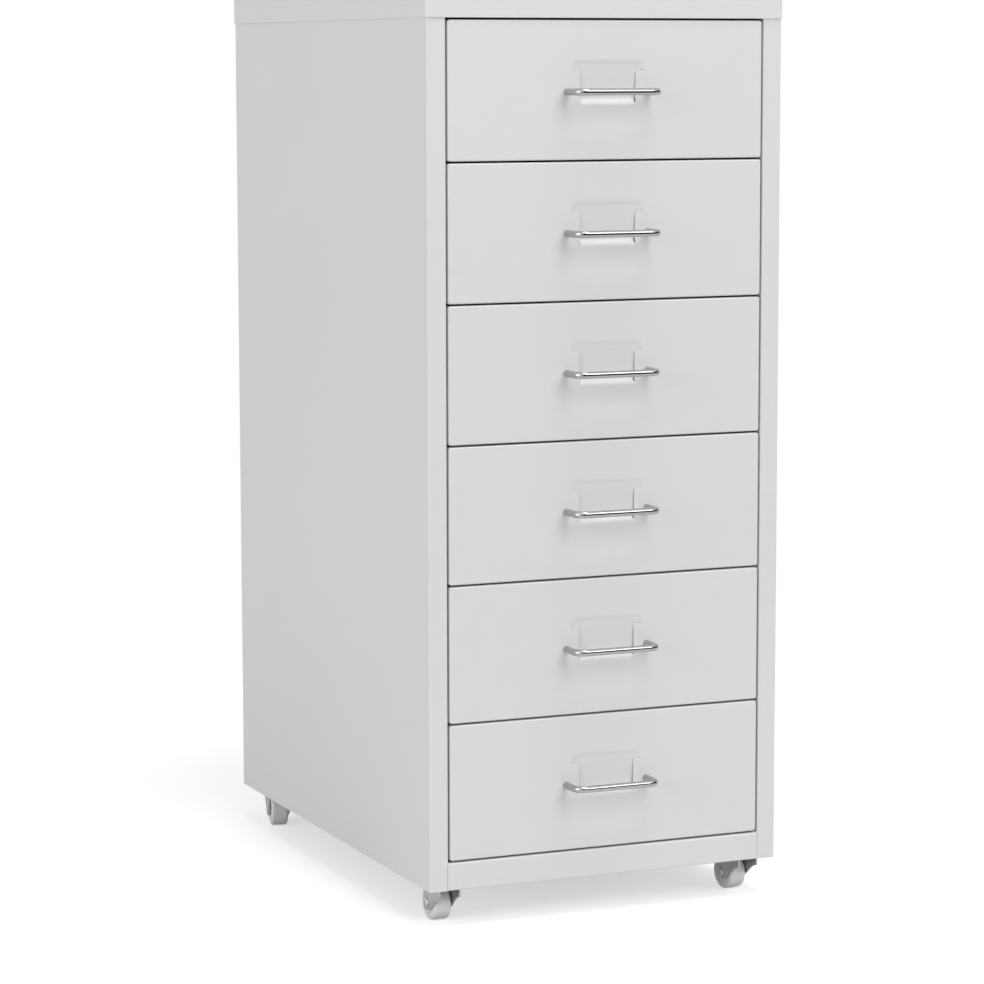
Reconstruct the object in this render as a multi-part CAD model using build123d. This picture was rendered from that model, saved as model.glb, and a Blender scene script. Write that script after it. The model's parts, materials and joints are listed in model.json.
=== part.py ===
from build123d import *
import os

# A small mobile drawer cabinet in folded sheet steel. The drawers hang by rolled flanges in
# C-shaped runners, and the casing stands on four swivel castors.
# Millimetres. +Z is up, -Y is the front, and the origin is on the floor, under the middle of
# the overall box, handles and rear screw heads included.

# ------------------------------------------------------------------ overall sizes
OVERALL_H = 690.0          # floor to the rim of the top cover
COVER_W = 280.0            # width over the top cover, the widest piece
COVER_D = 410.0            # depth over the top cover
SKIRT_Z = 28.5             # floor to the lower edge of the casing
DRAWER_COUNT = 6

# ------------------------------------------------------------------ sheet and folds
SHEET = 0.8                # casing and drawer fronts
TRAY_SHEET = 0.7           # drawer trays
RUNNER_SHEET = 1.0         # runners
FOLD_R = 1.5               # outside radius of a casing fold
TRAY_FOLD_R = 1.2          # outside radius of a tray fold
PANEL_FIT = 0.15           # play between casing pieces that slip into one another

# ------------------------------------------------------------------ top cover
COVER_H = 40.0             # height of its skirt
COVER_CLEAR = 0.1          # skirt to the panels inside it
COVER_CORNER_R = 2.5       # upright corners
COVER_LEDGE = 7.0          # folded rim round the shallow tray on top
TOP_TRAY_DEPTH = 6.0
TOP_TRAY_CORNER_R = 4.0

# ------------------------------------------------------------------ side, back and base panels
STILE_W = 14.5             # front edge of a side panel beside the drawers
STILE_RETURN = 8.0         # stile folded back into the casing
REAR_FLANGE = 18.0
TOP_FLANGE = 16.0
BACK_TOP_FLANGE = 12.0
RAIL_H = 20.2              # base rail under the lowest drawer
RAIL_RETURN = 10.0
RAIL_HEM = 2.0             # thickness of the doubled lower edge of the rail
BASE_FLANGE = 14.0

# ------------------------------------------------------------------ drawer fronts
DRAWER_GAP = 1.4           # above and below each drawer front
SIDE_GAP = 1.4             # drawer front to stile
FRONT_DEPTH = 12.0         # front pan from face to rear lip
FRONT_LIP = 12.0           # width of the rear lip
FRONT_CORNER_R = 2.0
FRONT_FOLD_R = 1.2         # outside radius round the face

# ------------------------------------------------------------------ label pocket in a front
POCKET_W = 57.0            # over the pocket behind its side tabs
POCKET_TOP = 21.5          # above the middle of the front
POCKET_BOTTOM = 9.5        # below the middle of the front
POCKET_DEPTH = 2.5
POCKET_CORNER_R = 4.5
POCKET_DRAFT = 52.0        # degrees the pocket walls lean
POCKET_EDGE_R = 1.5        # where the walls run into its floor
WINDOW_W = 44.0            # between the side tabs that hold the label
TAB_TOP = 14.0             # above the middle of the front
TAB_CORNER_R = 3.5

# ------------------------------------------------------------------ drawer handles
HANDLE_WIRE = 5.0
HANDLE_SPAN = 64.0         # between leg centres
HANDLE_STANDOFF = 20.5     # drawer face to the middle of the bar
HANDLE_BEND_R = 7.0        # to the middle of the wire
HANDLE_DROP = 1.2          # below the middle of the front
HANDLE_SCREW_D = 3.0
HANDLE_SCREW_HEAD_D = 6.0
HANDLE_SCREW_HEAD_H = 2.0
HANDLE_SCREW_GRIP = 8.0    # screw inside a leg
DRIVER_HOLE_D = 12.0       # in the tray, for the screwdriver

# ------------------------------------------------------------------ drawer trays
TRAY_INSET = 8.6           # inner edge of a stile to the outside of a tray wall
TRAY_BACK = 386.0          # drawer face to the outside of the tray's back wall
TRAY_UNDER = 6.0           # lower edge of the front to the underside of the tray
TRAY_BELOW_TOP = 8.0       # upper edge of the front to the top of the tray flange
TRAY_FLANGE_H = 9.0        # rolled flange, from its top to its lower edge
TRAY_BACK_DROP = 8.0       # back wall below the flange top

# ------------------------------------------------------------------ runners and stops
DRAWER_TRAVEL = 300.0      # shut to the stop
RUN_CLEAR = 0.2            # under the tray flange
TILT_CLEAR = 0.8           # over the tray flange
RUNNER_SIDE_CLEAR = 1.0    # runner shelf to the tray wall
RUNNER_FOLD_R = 1.8
RUNNER_TAIL = 8.0          # runner behind the tray
STOP_CLEAR = 0.3
LUG_W = 3.0
LUG_H = 5.0
LUG_T = 1.0

# ------------------------------------------------------------------ screws
SCREW_D = 4.0
SCREW_HEAD_D = 7.6
SCREW_HEAD_H = 1.6
SCREW_LENGTH = 8.0
SCREW_CLEAR = 0.1          # radial, in its holes
REAR_SCREW_INSET = 55.0    # highest and lowest rear screw from the ends of the back panel

# ------------------------------------------------------------------ castors
CASTOR_H = 34.0            # floor to the underside of the base panel
CASTOR_SIDE_INSET = 18.3   # swivel axes inside the side panels
CASTOR_FRONT_INSET = 25.0  # front swivel axes behind the drawer face
CASTOR_REAR_INSET = 28.0   # rear swivel axes in front of the casing's back
WHEEL_D = 25.0
WHEEL_W = 13.4
WHEEL_EDGE_R = 2.0
WHEEL_DISH = 1.0           # depth of the recess in each side of the wheel
HUB_D = 9.0
WHEEL_TRAIL = 9.0          # wheel axle behind the swivel axis
WHEEL_PLAY = 0.5           # wheel to fork, each side
FORK_SHEET = 1.3
FORK_LENGTH = 27.0
FORK_SHOULDER = 6.5        # full-width part of a fork cheek, from the top down
FORK_EYE_R = 5.0
FORK_FOLD_R = 2.2
AXLE_D = 4.0
AXLE_HEAD_D = 8.0
AXLE_HEAD_H = 1.1
BORE_CLEAR = 0.05          # radial, turning fits
PLATE_X = 32.0
PLATE_Y = 32.0
PLATE_T = 1.5
PLATE_CORNER_R = 4.0
PLATE_HOLES_X = 24.0
PLATE_HOLES_Y = 24.0
RACE_D = 24.0
SWIVEL_CLEAR = 0.2         # fork to race, and fork to rivet head
FORK_TOP_DROP = 4.4        # underside of the base panel to the top of the fork
KINGPIN_D = 5.0
KINGPIN_HEAD_D = 9.0
KINGPIN_HEAD_H = 1.1

# ------------------------------------------------------------------ worked-out places
COVER_LAP = SHEET + COVER_CLEAR
PANEL_X = COVER_W / 2 - COVER_LAP                # outside of a side panel
WALL_X = PANEL_X - SHEET                         # inside of a side panel
OPENING_X = PANEL_X - STILE_W                    # inner edge of a stile
FRONT_X = OPENING_X - SIDE_GAP                   # half width of a drawer front
TRAY_HALF_W = OPENING_X - TRAY_INSET             # outside of a tray wall

HANDLE_REACH = HANDLE_STANDOFF + HANDLE_WIRE / 2
OVERALL_D = HANDLE_REACH - COVER_LAP + COVER_D + SCREW_HEAD_H
FACE_Y = HANDLE_REACH - OVERALL_D / 2            # stiles and drawer fronts
COVER_FRONT_Y = FACE_Y - COVER_LAP
COVER_BACK_Y = COVER_FRONT_Y + COVER_D
BACK_Y = COVER_BACK_Y - COVER_LAP                # outside of the rear flanges

COVER_Z = OVERALL_H - COVER_H
TOP_FLOOR_Z = OVERALL_H - TOP_TRAY_DEPTH
PANEL_TOP_Z = TOP_FLOOR_Z - SHEET
RAIL_TOP_Z = SKIRT_Z + RAIL_H
FRONT_PITCH = (COVER_Z - RAIL_TOP_Z - DRAWER_GAP) / DRAWER_COUNT
FRONT_H = FRONT_PITCH - DRAWER_GAP

LIP_Y = FACE_Y + FRONT_DEPTH                     # where a tray meets its front
TRAY_BACK_Y = FACE_Y + TRAY_BACK
RUNNER_FRONT_Y = FACE_Y + max(STILE_RETURN, FRONT_DEPTH) + RUNNER_SIDE_CLEAR
RUNNER_BACK_Y = TRAY_BACK_Y + RUNNER_TAIL
RUNNER_IN_X = TRAY_HALF_W + RUNNER_SIDE_CLEAR

CASTOR_X = WALL_X - CASTOR_SIDE_INSET
CASTOR_FRONT_Y = FACE_Y + CASTOR_FRONT_INSET
CASTOR_REAR_Y = BACK_Y - CASTOR_REAR_INSET
FORK_TOP_Z = CASTOR_H - FORK_TOP_DROP
FORK_IN_X = WHEEL_W / 2 + WHEEL_PLAY
FORK_OUT_X = FORK_IN_X + FORK_SHEET
AXLE_Z = WHEEL_D / 2

# the way each wheel trails at rest, in degrees from straight back
CASTOR_REST_DEGREES = {
    "front_left": 0.0,
    "front_right": 6.0,
    "rear_left": 168.0,
    "rear_right": -150.0,
}


# ------------------------------------------------------------------ shared helpers
def level(z):
    """Horizontal plane, drawn in x and y, extruding up."""
    return Plane.XY.offset(z)


def across(y):
    """Upright plane at y, drawn in x and z, extruding forwards."""
    return Plane.XZ.offset(-y)


def along(x):
    """Upright plane at x, drawn in y and z, extruding to the right."""
    return Plane.YZ.offset(x)


def block(low, high):
    """Box between two opposite corners."""
    size = [b - a for a, b in zip(low, high)]
    return Pos(*low) * Box(*size, align=(Align.MIN, Align.MIN, Align.MIN))


def folded(points, thick, radius, side=Side.LEFT):
    """Section of a folded sheet. The points follow one face of it, and the sheet lies beside."""
    line = FilletPolyline(*points, radius=radius)
    return make_face(offset(line, amount=thick, side=side).edges())


def bolt(head_d, head_h, shank_d, length):
    """Domed screw or rivet: the head stands on z = 0 and the shank goes down."""
    head = Cylinder(head_d / 2, head_h, align=(Align.CENTER, Align.CENTER, Align.MIN))
    rim = head.edges().group_by(Axis.Z)[-1]
    head = fillet(rim, head_h * 0.7)
    shank = Cylinder(shank_d / 2, length, align=(Align.CENTER, Align.CENTER, Align.MAX))
    return head + shank


def mirrored(shape):
    """The same piece for the other side of the cabinet."""
    return mirror(shape, Plane.YZ)


def front_bottom(number):
    """Lower edge of a drawer front. Drawer 1 is the top one."""
    return RAIL_TOP_Z + DRAWER_GAP + (DRAWER_COUNT - number) * FRONT_PITCH


# ------------------------------------------------------------------ screw places on the back
SCREW_X = PANEL_X - REAR_FLANGE / 2
COVER_SCREW_Z = COVER_Z + COVER_H / 2
REAR_SCREW_LOW = SKIRT_Z + REAR_SCREW_INSET
REAR_SCREW_HIGH = COVER_Z - REAR_SCREW_INSET
REAR_SCREW_HEIGHTS = [REAR_SCREW_LOW, (REAR_SCREW_LOW + REAR_SCREW_HIGH) / 2, REAR_SCREW_HIGH]


def rear_holes(heights):
    """Clearance holes through the back of the casing, on both sides."""
    places = [Pos(x, BACK_Y, z) for x in (-SCREW_X, SCREW_X) for z in heights]
    return [p * Rot(90, 0, 0) * Cylinder(SCREW_D / 2 + SCREW_CLEAR, REAR_FLANGE) for p in places]


# ------------------------------------------------------------------ casing
def top_cover():
    """Lid with a skirt all round and a shallow tray inside a folded rim."""
    middle_y = (COVER_FRONT_Y + COVER_BACK_Y) / 2

    def slab(inset, corner, z0, z1):
        outline = RectangleRounded(COVER_W - 2 * inset, COVER_D - 2 * inset, corner)
        return extrude(level(z0) * Pos(0, middle_y) * outline, amount=z1 - z0)

    lid = slab(0, COVER_CORNER_R, COVER_Z, OVERALL_H)
    lid = fillet(lid.edges().group_by(Axis.Z)[-1], FOLD_R)
    lid -= slab(SHEET, COVER_CORNER_R - SHEET, COVER_Z, OVERALL_H - SHEET)
    dish = COVER_LEDGE - SHEET
    lid += slab(dish, TOP_TRAY_CORNER_R + SHEET, PANEL_TOP_Z, OVERALL_H - SHEET)
    lid -= slab(COVER_LEDGE, TOP_TRAY_CORNER_R, TOP_FLOOR_Z, OVERALL_H)
    return lid - rear_holes([COVER_SCREW_Z])


def side_panel():
    """Right side panel: wall, stile with its return, rear and top flanges, hemmed lower edge."""
    plan = folded([
        (OPENING_X, FACE_Y + STILE_RETURN),
        (OPENING_X, FACE_Y),
        (PANEL_X, FACE_Y),
        (PANEL_X, BACK_Y),
        (PANEL_X - REAR_FLANGE, BACK_Y),
    ], SHEET, FOLD_R)
    panel = extrude(level(SKIRT_Z) * plan, amount=PANEL_TOP_Z - SKIRT_Z)
    flange_front = FACE_Y + STILE_RETURN + SHEET
    flange_back = BACK_Y - 2 * SHEET - BACK_TOP_FLANGE
    panel += block((PANEL_X - TOP_FLANGE, flange_front, PANEL_TOP_Z - SHEET),
                   (WALL_X, flange_back, PANEL_TOP_Z))
    panel += block((WALL_X - SHEET, flange_front, SKIRT_Z),
                   (WALL_X, BACK_Y - 2 * SHEET - PANEL_FIT, CASTOR_H))
    return panel - rear_holes(REAR_SCREW_HEIGHTS + [COVER_SCREW_Z])


def back_panel():
    """Back sheet inside the rear flanges, with a flange under the cover."""
    outer_y = BACK_Y - SHEET
    half = WALL_X - FOLD_R
    sheet = block((-half, outer_y - SHEET, SKIRT_Z), (half, outer_y, PANEL_TOP_Z))
    sheet += block((-half, outer_y - BACK_TOP_FLANGE, PANEL_TOP_Z - SHEET),
                   (half, outer_y, PANEL_TOP_Z))
    return sheet - rear_holes(REAR_SCREW_HEIGHTS + [COVER_SCREW_Z])


def base_panel():
    """Base with a hemmed front rail, side and rear flanges, and holes for the castor screws."""
    rear = BACK_Y - 2 * SHEET
    rail_x = OPENING_X - PANEL_FIT
    hem_r = RAIL_HEM * 0.45
    lengthwise = folded([
        (FACE_Y + RAIL_RETURN, RAIL_TOP_Z),
        (FACE_Y, RAIL_TOP_Z),
        (FACE_Y, SKIRT_Z),
        (FACE_Y + RAIL_HEM, SKIRT_Z),
        (FACE_Y + RAIL_HEM, CASTOR_H),
        (rear, CASTOR_H),
        (rear, CASTOR_H + BASE_FLANGE),
    ], SHEET, [FOLD_R, hem_r, hem_r, FOLD_R, FOLD_R])
    base = extrude(along(-rail_x) * lengthwise, amount=2 * rail_x)
    crosswise = folded([
        (-WALL_X, CASTOR_H + BASE_FLANGE),
        (-WALL_X, CASTOR_H),
        (WALL_X, CASTOR_H),
        (WALL_X, CASTOR_H + BASE_FLANGE),
    ], SHEET, FOLD_R)
    behind = FACE_Y + STILE_RETURN + PANEL_FIT
    base += extrude(across(rear) * crosswise, amount=rear - behind)
    hole = Cylinder(SCREW_D / 2 + SCREW_CLEAR, 4 * SHEET)
    return base - [Pos(x, y, CASTOR_H) * hole for x, y in castor_screw_places()]


def casing_screws():
    """Screws of the back panel and, on the cover, of the top."""
    screw = Rot(-90, 0, 0) * bolt(SCREW_HEAD_D, SCREW_HEAD_H, SCREW_D, SCREW_LENGTH)
    solids = []
    for x in (-SCREW_X, SCREW_X):
        solids += [Pos(x, BACK_Y, z) * screw for z in REAR_SCREW_HEIGHTS]
        solids.append(Pos(x, COVER_BACK_Y, COVER_SCREW_Z) * screw)
    return Compound(solids)


# ------------------------------------------------------------------ drawers and runners
def front_pan():
    """Folded drawer front round its own middle, with the stamped label pocket."""
    def pan_block(inset, face_y, back_y, edge_r):
        outline = RectangleRounded(2 * (FRONT_X - inset), FRONT_H - 2 * inset, FRONT_CORNER_R - inset)
        solid = extrude(across(back_y) * outline, amount=back_y - face_y)
        return fillet(solid.edges().group_by(Axis.Y)[0], edge_r)

    pan = pan_block(0, FACE_Y, LIP_Y, FRONT_FOLD_R)
    pan -= pan_block(SHEET, FACE_Y + SHEET, LIP_Y - SHEET, FRONT_FOLD_R - SHEET)
    window = Rectangle(2 * (FRONT_X - FRONT_LIP), FRONT_H - 2 * FRONT_LIP)
    pan -= extrude(across(LIP_Y) * window, amount=2 * SHEET)

    pocket_middle = (POCKET_TOP - POCKET_BOTTOM) / 2
    pocket_h = POCKET_TOP + POCKET_BOTTOM

    def pocket(grow, depth):
        outline = RectangleRounded(POCKET_W + 2 * grow, pocket_h + 2 * grow, POCKET_CORNER_R + grow)
        face = across(FACE_Y) * Pos(0, pocket_middle) * outline
        stamp = extrude(face, amount=-depth, taper=POCKET_DRAFT)
        return fillet(stamp.edges().group_by(Axis.Y)[-1], POCKET_EDGE_R + grow)

    pan += pocket(SHEET, POCKET_DEPTH + SHEET)
    pan -= pocket(0, POCKET_DEPTH)

    tab_w = (POCKET_W - WINDOW_W) / 2
    tab_h = TAB_TOP + POCKET_BOTTOM
    tab = Pos((WINDOW_W + tab_w) / 2 , TAB_TOP - tab_h / 2) * Rectangle(tab_w, tab_h)
    tab = fillet(tab.vertices().group_by(Axis.X)[0].group_by(Axis.Y)[-1], TAB_CORNER_R)
    tab = extrude(across(FACE_Y + SHEET) * tab, amount=SHEET)
    pan += tab
    pan += mirrored(tab)

    hole = Rot(90, 0, 0) * Cylinder(HANDLE_SCREW_D / 2 + SCREW_CLEAR, 4 * SHEET)
    return pan - [Pos(x, FACE_Y, -HANDLE_DROP) * hole for x in handle_legs()]


def handle_legs():
    """Both leg positions."""
    return (-HANDLE_SPAN / 2, HANDLE_SPAN / 2)


def handle():
    """Bent wire pull, standing on the drawer face and tapped for its screws."""
    bar_y = FACE_Y - HANDLE_STANDOFF
    left, right = handle_legs()
    path = FilletPolyline((left, FACE_Y), (left, bar_y), (right, bar_y), (right, FACE_Y),
                          radius=HANDLE_BEND_R)
    wire = sweep(Plane(origin=path @ 0, z_dir=path % 0) * Circle(HANDLE_WIRE / 2), path=path)
    depth = HANDLE_SCREW_GRIP + 2 * STOP_CLEAR
    tapped = Rot(90, 0, 0) * Cylinder(HANDLE_SCREW_D / 2 + BORE_CLEAR, 2 * depth)
    wire -= [Pos(x, FACE_Y, 0) * tapped for x in handle_legs()]
    return Pos(0, 0, -HANDLE_DROP) * wire


def handle_screws():
    """The two screws behind a handle, heads inside the front pan."""
    screw = Rot(-90, 0, 0) * bolt(HANDLE_SCREW_HEAD_D, HANDLE_SCREW_HEAD_H,
                                  HANDLE_SCREW_D, HANDLE_SCREW_GRIP + SHEET)
    return Compound([Pos(x, FACE_Y + SHEET, -HANDLE_DROP) * screw for x in handle_legs()])


TRAY_BOTTOM = TRAY_UNDER - FRONT_H / 2           # from the middle of the front
TRAY_TOP = FRONT_H / 2 - TRAY_BELOW_TOP


def tray():
    """Folded tray round the middle of its front: floor, walls and rolled side flanges."""
    inner = TRAY_HALF_W - TRAY_SHEET
    floor_z = TRAY_BOTTOM + TRAY_SHEET
    section = folded([
        (-FRONT_X, TRAY_TOP - TRAY_FLANGE_H),
        (-FRONT_X, TRAY_TOP),
        (-inner, TRAY_TOP),
        (-inner, floor_z),
        (inner, floor_z),
        (inner, TRAY_TOP),
        (FRONT_X, TRAY_TOP),
        (FRONT_X, TRAY_TOP - TRAY_FLANGE_H),
    ], TRAY_SHEET, TRAY_FOLD_R, Side.RIGHT)
    body = extrude(across(TRAY_BACK_Y) * section, amount=TRAY_BACK_Y - LIP_Y)

    walls = block((-inner, LIP_Y, TRAY_BOTTOM), (inner, LIP_Y + TRAY_SHEET, TRAY_TOP))
    driver = Rot(90, 0, 0) * Cylinder(DRIVER_HOLE_D / 2, 4 * TRAY_SHEET)
    walls -= [Pos(x, LIP_Y, -HANDLE_DROP) * driver for x in handle_legs()]
    walls += block((-inner, TRAY_BACK_Y - TRAY_SHEET, TRAY_BOTTOM),
                   (inner, TRAY_BACK_Y, TRAY_TOP - TRAY_BACK_DROP))
    body += walls

    ear = block((TRAY_HALF_W, TRAY_BACK_Y - TRAY_SHEET, TRAY_TOP - TRAY_FLANGE_H + RUNNER_SHEET),
                (FRONT_X, TRAY_BACK_Y, TRAY_TOP))
    return body + ear + mirrored(ear)


def runner():
    """Right runner for a drawer round the middle of its front, with the two stop lugs."""
    shelf_z = TRAY_TOP - TRAY_FLANGE_H - RUN_CLEAR
    low = shelf_z - RUNNER_SHEET
    high = TRAY_TOP + TILT_CLEAR + RUNNER_SHEET
    section = folded([
        (RUNNER_IN_X, low),
        (WALL_X, low),
        (WALL_X, high),
        (RUNNER_IN_X + RUNNER_SIDE_CLEAR, high),
    ], RUNNER_SHEET, RUNNER_FOLD_R)
    channel = extrude(across(RUNNER_BACK_Y) * section, amount=RUNNER_BACK_Y - RUNNER_FRONT_Y)
    lug_x = RUNNER_IN_X + STOP_CLEAR
    open_y = TRAY_BACK_Y - TRAY_SHEET - DRAWER_TRAVEL - STOP_CLEAR
    shut_y = TRAY_BACK_Y + STOP_CLEAR
    channel += block((lug_x, open_y - LUG_T, low), (lug_x + LUG_W, open_y, shelf_z + LUG_H))
    channel += block((lug_x, shut_y, low), (lug_x + LUG_W, shut_y + LUG_T, shelf_z + LUG_H))
    return channel


# ------------------------------------------------------------------ castors
def castor_screw_offsets():
    """Plate screws round a swivel axis."""
    dx, dy = PLATE_HOLES_X / 2, PLATE_HOLES_Y / 2
    return [(-dx, -dy), (dx, -dy), (-dx, dy), (dx, dy)]


def castor_axis(name):
    """Where a castor's swivel axis stands."""
    x = CASTOR_X if name.endswith("right") else -CASTOR_X
    y = CASTOR_FRONT_Y if name.startswith("front") else CASTOR_REAR_Y
    return x, y


def castor_screw_places():
    """All the plate screws under the base."""
    axes = [castor_axis(name) for name in CASTOR_REST_DEGREES]
    return [(x + dx, y + dy) for x, y in axes for dx, dy in castor_screw_offsets()]


def castor_plate():
    """Mounting plate with the pressed raceway, under the base and round the swivel axis."""
    outline = RectangleRounded(PLATE_X, PLATE_Y, PLATE_CORNER_R)
    outline -= [Pos(dx, dy) * Circle(SCREW_D / 2 + SCREW_CLEAR) for dx, dy in castor_screw_offsets()]
    plate = extrude(level(CASTOR_H - PLATE_T) * outline, amount=PLATE_T)
    race_h = FORK_TOP_DROP - PLATE_T - SWIVEL_CLEAR
    race = Pos(0, 0, CASTOR_H - PLATE_T) * Cylinder(
        RACE_D / 2, race_h, align=(Align.CENTER, Align.CENTER, Align.MAX))
    race = fillet(race.edges().group_by(Axis.Z)[0], race_h * 0.8)
    pin_hole = Pos(0, 0, CASTOR_H) * Cylinder(KINGPIN_D / 2 + BORE_CLEAR, 4 * FORK_TOP_DROP)
    return plate + race - pin_hole


def kingpin():
    """Rivet of the swivel, its head under the fork."""
    head_z = FORK_TOP_Z - FORK_SHEET - SWIVEL_CLEAR
    return Pos(0, 0, head_z) * Rot(180, 0, 0) * bolt(
        KINGPIN_HEAD_D, KINGPIN_HEAD_H, KINGPIN_D, CASTOR_H - PANEL_FIT - head_z)


def fork():
    """Pressed fork with its cheeks cut to a shoulder and an eye round the axle."""
    eye_low = AXLE_Z - FORK_EYE_R
    section = folded([
        (-FORK_OUT_X, eye_low),
        (-FORK_OUT_X, FORK_TOP_Z),
        (FORK_OUT_X, FORK_TOP_Z),
        (FORK_OUT_X, eye_low),
    ], FORK_SHEET, FORK_FOLD_R, Side.RIGHT)
    half = FORK_LENGTH / 2
    strip = extrude(across(half + FORK_EYE_R) * section, amount=FORK_LENGTH + 2 * FORK_EYE_R)

    shoulder_z = FORK_TOP_Z - FORK_SHOULDER
    front_foot = (WHEEL_TRAIL - FORK_EYE_R, AXLE_Z)
    rear_foot = (WHEEL_TRAIL + FORK_EYE_R, AXLE_Z)
    cheek = Polyline((-half, shoulder_z), (-half, FORK_TOP_Z), (half, FORK_TOP_Z), (half, shoulder_z))
    cheek += Line((half, shoulder_z), rear_foot)
    cheek += ThreePointArc(rear_foot, (WHEEL_TRAIL, eye_low), front_foot)
    cheek += TangentArc(front_foot, (-half, shoulder_z), tangent=(0, 1))
    outline = make_face(cheek)
    bent = strip & extrude(along(-2 * FORK_OUT_X) * outline, amount=4 * FORK_OUT_X)
    bent -= Pos(0, WHEEL_TRAIL, AXLE_Z) * Rot(0, 90, 0) * Cylinder(
        AXLE_D / 2 + BORE_CLEAR, 4 * FORK_OUT_X)
    return bent - Pos(0, 0, FORK_TOP_Z) * Cylinder(KINGPIN_D / 2 + BORE_CLEAR, 4 * FORK_SHEET)


def axle():
    """Rivet through the fork and the wheel, headed on both sides."""
    pin = Rot(0, 90, 0) * bolt(AXLE_HEAD_D, AXLE_HEAD_H, AXLE_D, 2 * FORK_OUT_X)
    far_head = Rot(0, -90, 0) * bolt(AXLE_HEAD_D, AXLE_HEAD_H, AXLE_D, FORK_OUT_X)
    both = Pos(FORK_OUT_X, 0, 0) * pin + Pos(-FORK_OUT_X, 0, 0) * far_head
    return Pos(0, WHEEL_TRAIL, AXLE_Z) * both


def wheel():
    """Moulded wheel with rounded tread edges, dished sides and a hub."""
    half = WHEEL_W / 2
    bore = AXLE_D / 2 + BORE_CLEAR
    rim_in = WHEEL_D / 2 - 2 * WHEEL_EDGE_R
    tread = Rot(0, 90, 0) * Cylinder(WHEEL_D / 2, WHEEL_W)
    tread = fillet(tread.edges().filter_by(GeomType.CIRCLE), WHEEL_EDGE_R)
    dish = Rot(0, 90, 0) * (Cylinder(rim_in, WHEEL_DISH) - Cylinder(HUB_D / 2, WHEEL_DISH))
    tread -= [Pos(s * (half - WHEEL_DISH / 2), 0, 0) * dish for s in (-1, 1)]
    tread -= Rot(0, 90, 0) * Cylinder(bore, 2 * WHEEL_W)
    return Pos(0, WHEEL_TRAIL, AXLE_Z) * tread


def castor_screws():
    """The screws that hold the castor plates to the base, heads under the plates."""
    screw = Rot(180, 0, 0) * bolt(SCREW_HEAD_D, SCREW_HEAD_H, SCREW_D, SCREW_LENGTH)
    return Compound([Pos(x, y, CASTOR_H - PLATE_T) * screw for x, y in castor_screw_places()])


# ------------------------------------------------------------------ assembly
def build():
    """All the pieces in place, by node name."""
    right = side_panel()
    nodes = {
        "left_side_panel": mirrored(right),
        "right_side_panel": right,
        "back_panel": back_panel(),
        "base_panel": base_panel(),
        "top_cover": top_cover(),
        "casing_screws": casing_screws(),
        "castor_screws": castor_screws(),
    }

    runner_right = runner()
    runner_left = mirrored(runner_right)
    drawer = {"tray": tray(), "front": front_pan(), "handle": handle(),
              "handle_screws": handle_screws()}
    for number in range(1, DRAWER_COUNT + 1):
        place = Pos(0, 0, front_bottom(number) + FRONT_H / 2)
        nodes[f"left_runner_{number}"] = place * runner_left
        nodes[f"right_runner_{number}"] = place * runner_right
        for piece, shape in drawer.items():
            nodes[f"drawer_{number}_{piece}"] = place * shape

    plate, pin = castor_plate(), kingpin()
    swivelling = {"fork": fork(), "axle": axle(), "wheel": wheel()}
    pins = []
    for name, trail in CASTOR_REST_DEGREES.items():
        place = Pos(*castor_axis(name))
        nodes[f"castor_{name}_plate"] = place * plate
        pins.append(place * pin)
        for piece, shape in swivelling.items():
            nodes[f"castor_{name}_{piece}"] = place * Rot(0, 0, trail) * shape
    nodes["castor_kingpins"] = Compound(pins)
    return nodes


os.makedirs("parts", exist_ok=True)
for node, shape in build().items():
    export_step(shape, f"parts/{node}.step")
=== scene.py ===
import json
import math

import bmesh
import bpy
from bpy.props import (
    FloatProperty, FloatVectorProperty, IntProperty, PointerProperty,
)
from mathutils import Matrix, Vector


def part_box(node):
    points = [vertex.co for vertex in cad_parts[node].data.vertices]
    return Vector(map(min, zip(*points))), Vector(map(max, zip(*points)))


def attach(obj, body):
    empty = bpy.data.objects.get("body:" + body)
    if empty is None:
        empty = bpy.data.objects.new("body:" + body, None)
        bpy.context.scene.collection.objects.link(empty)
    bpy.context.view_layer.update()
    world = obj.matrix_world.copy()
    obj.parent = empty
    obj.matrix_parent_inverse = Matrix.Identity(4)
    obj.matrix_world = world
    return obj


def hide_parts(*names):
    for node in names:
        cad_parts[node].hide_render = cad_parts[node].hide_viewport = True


bl_info = {
    "name": "Drawer cabinet",
    "version": (1, 0, 0),
    "blender": (4, 5, 0),
    "location": "View3D > Sidebar > Cabinet",
    "description": "Dresses a small steel drawer cabinet on castors, piece by piece",
    "category": "Object",
}

# Metres, +Z up, -Y the drawer side. The frame is the packed model: every piece takes its
# place from it, and rides on its bodies.
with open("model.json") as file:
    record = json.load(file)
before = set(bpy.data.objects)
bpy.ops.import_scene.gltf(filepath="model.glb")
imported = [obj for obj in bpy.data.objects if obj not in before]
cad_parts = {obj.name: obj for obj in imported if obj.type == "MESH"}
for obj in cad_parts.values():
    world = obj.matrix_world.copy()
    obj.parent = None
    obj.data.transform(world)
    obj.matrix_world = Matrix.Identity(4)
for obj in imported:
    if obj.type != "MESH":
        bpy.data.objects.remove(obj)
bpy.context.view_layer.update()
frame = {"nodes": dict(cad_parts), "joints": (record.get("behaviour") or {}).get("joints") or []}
JOINTS = {joint["name"]: joint for joint in frame["joints"]}

MM = 0.001
WELD = 0.002 * MM
DRAWERS = range(1, 7)
CASTORS = ("front_left", "front_right", "rear_left", "rear_right")
CASING = ("left_side_panel", "right_side_panel", "back_panel", "base_panel", "top_cover")

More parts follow.
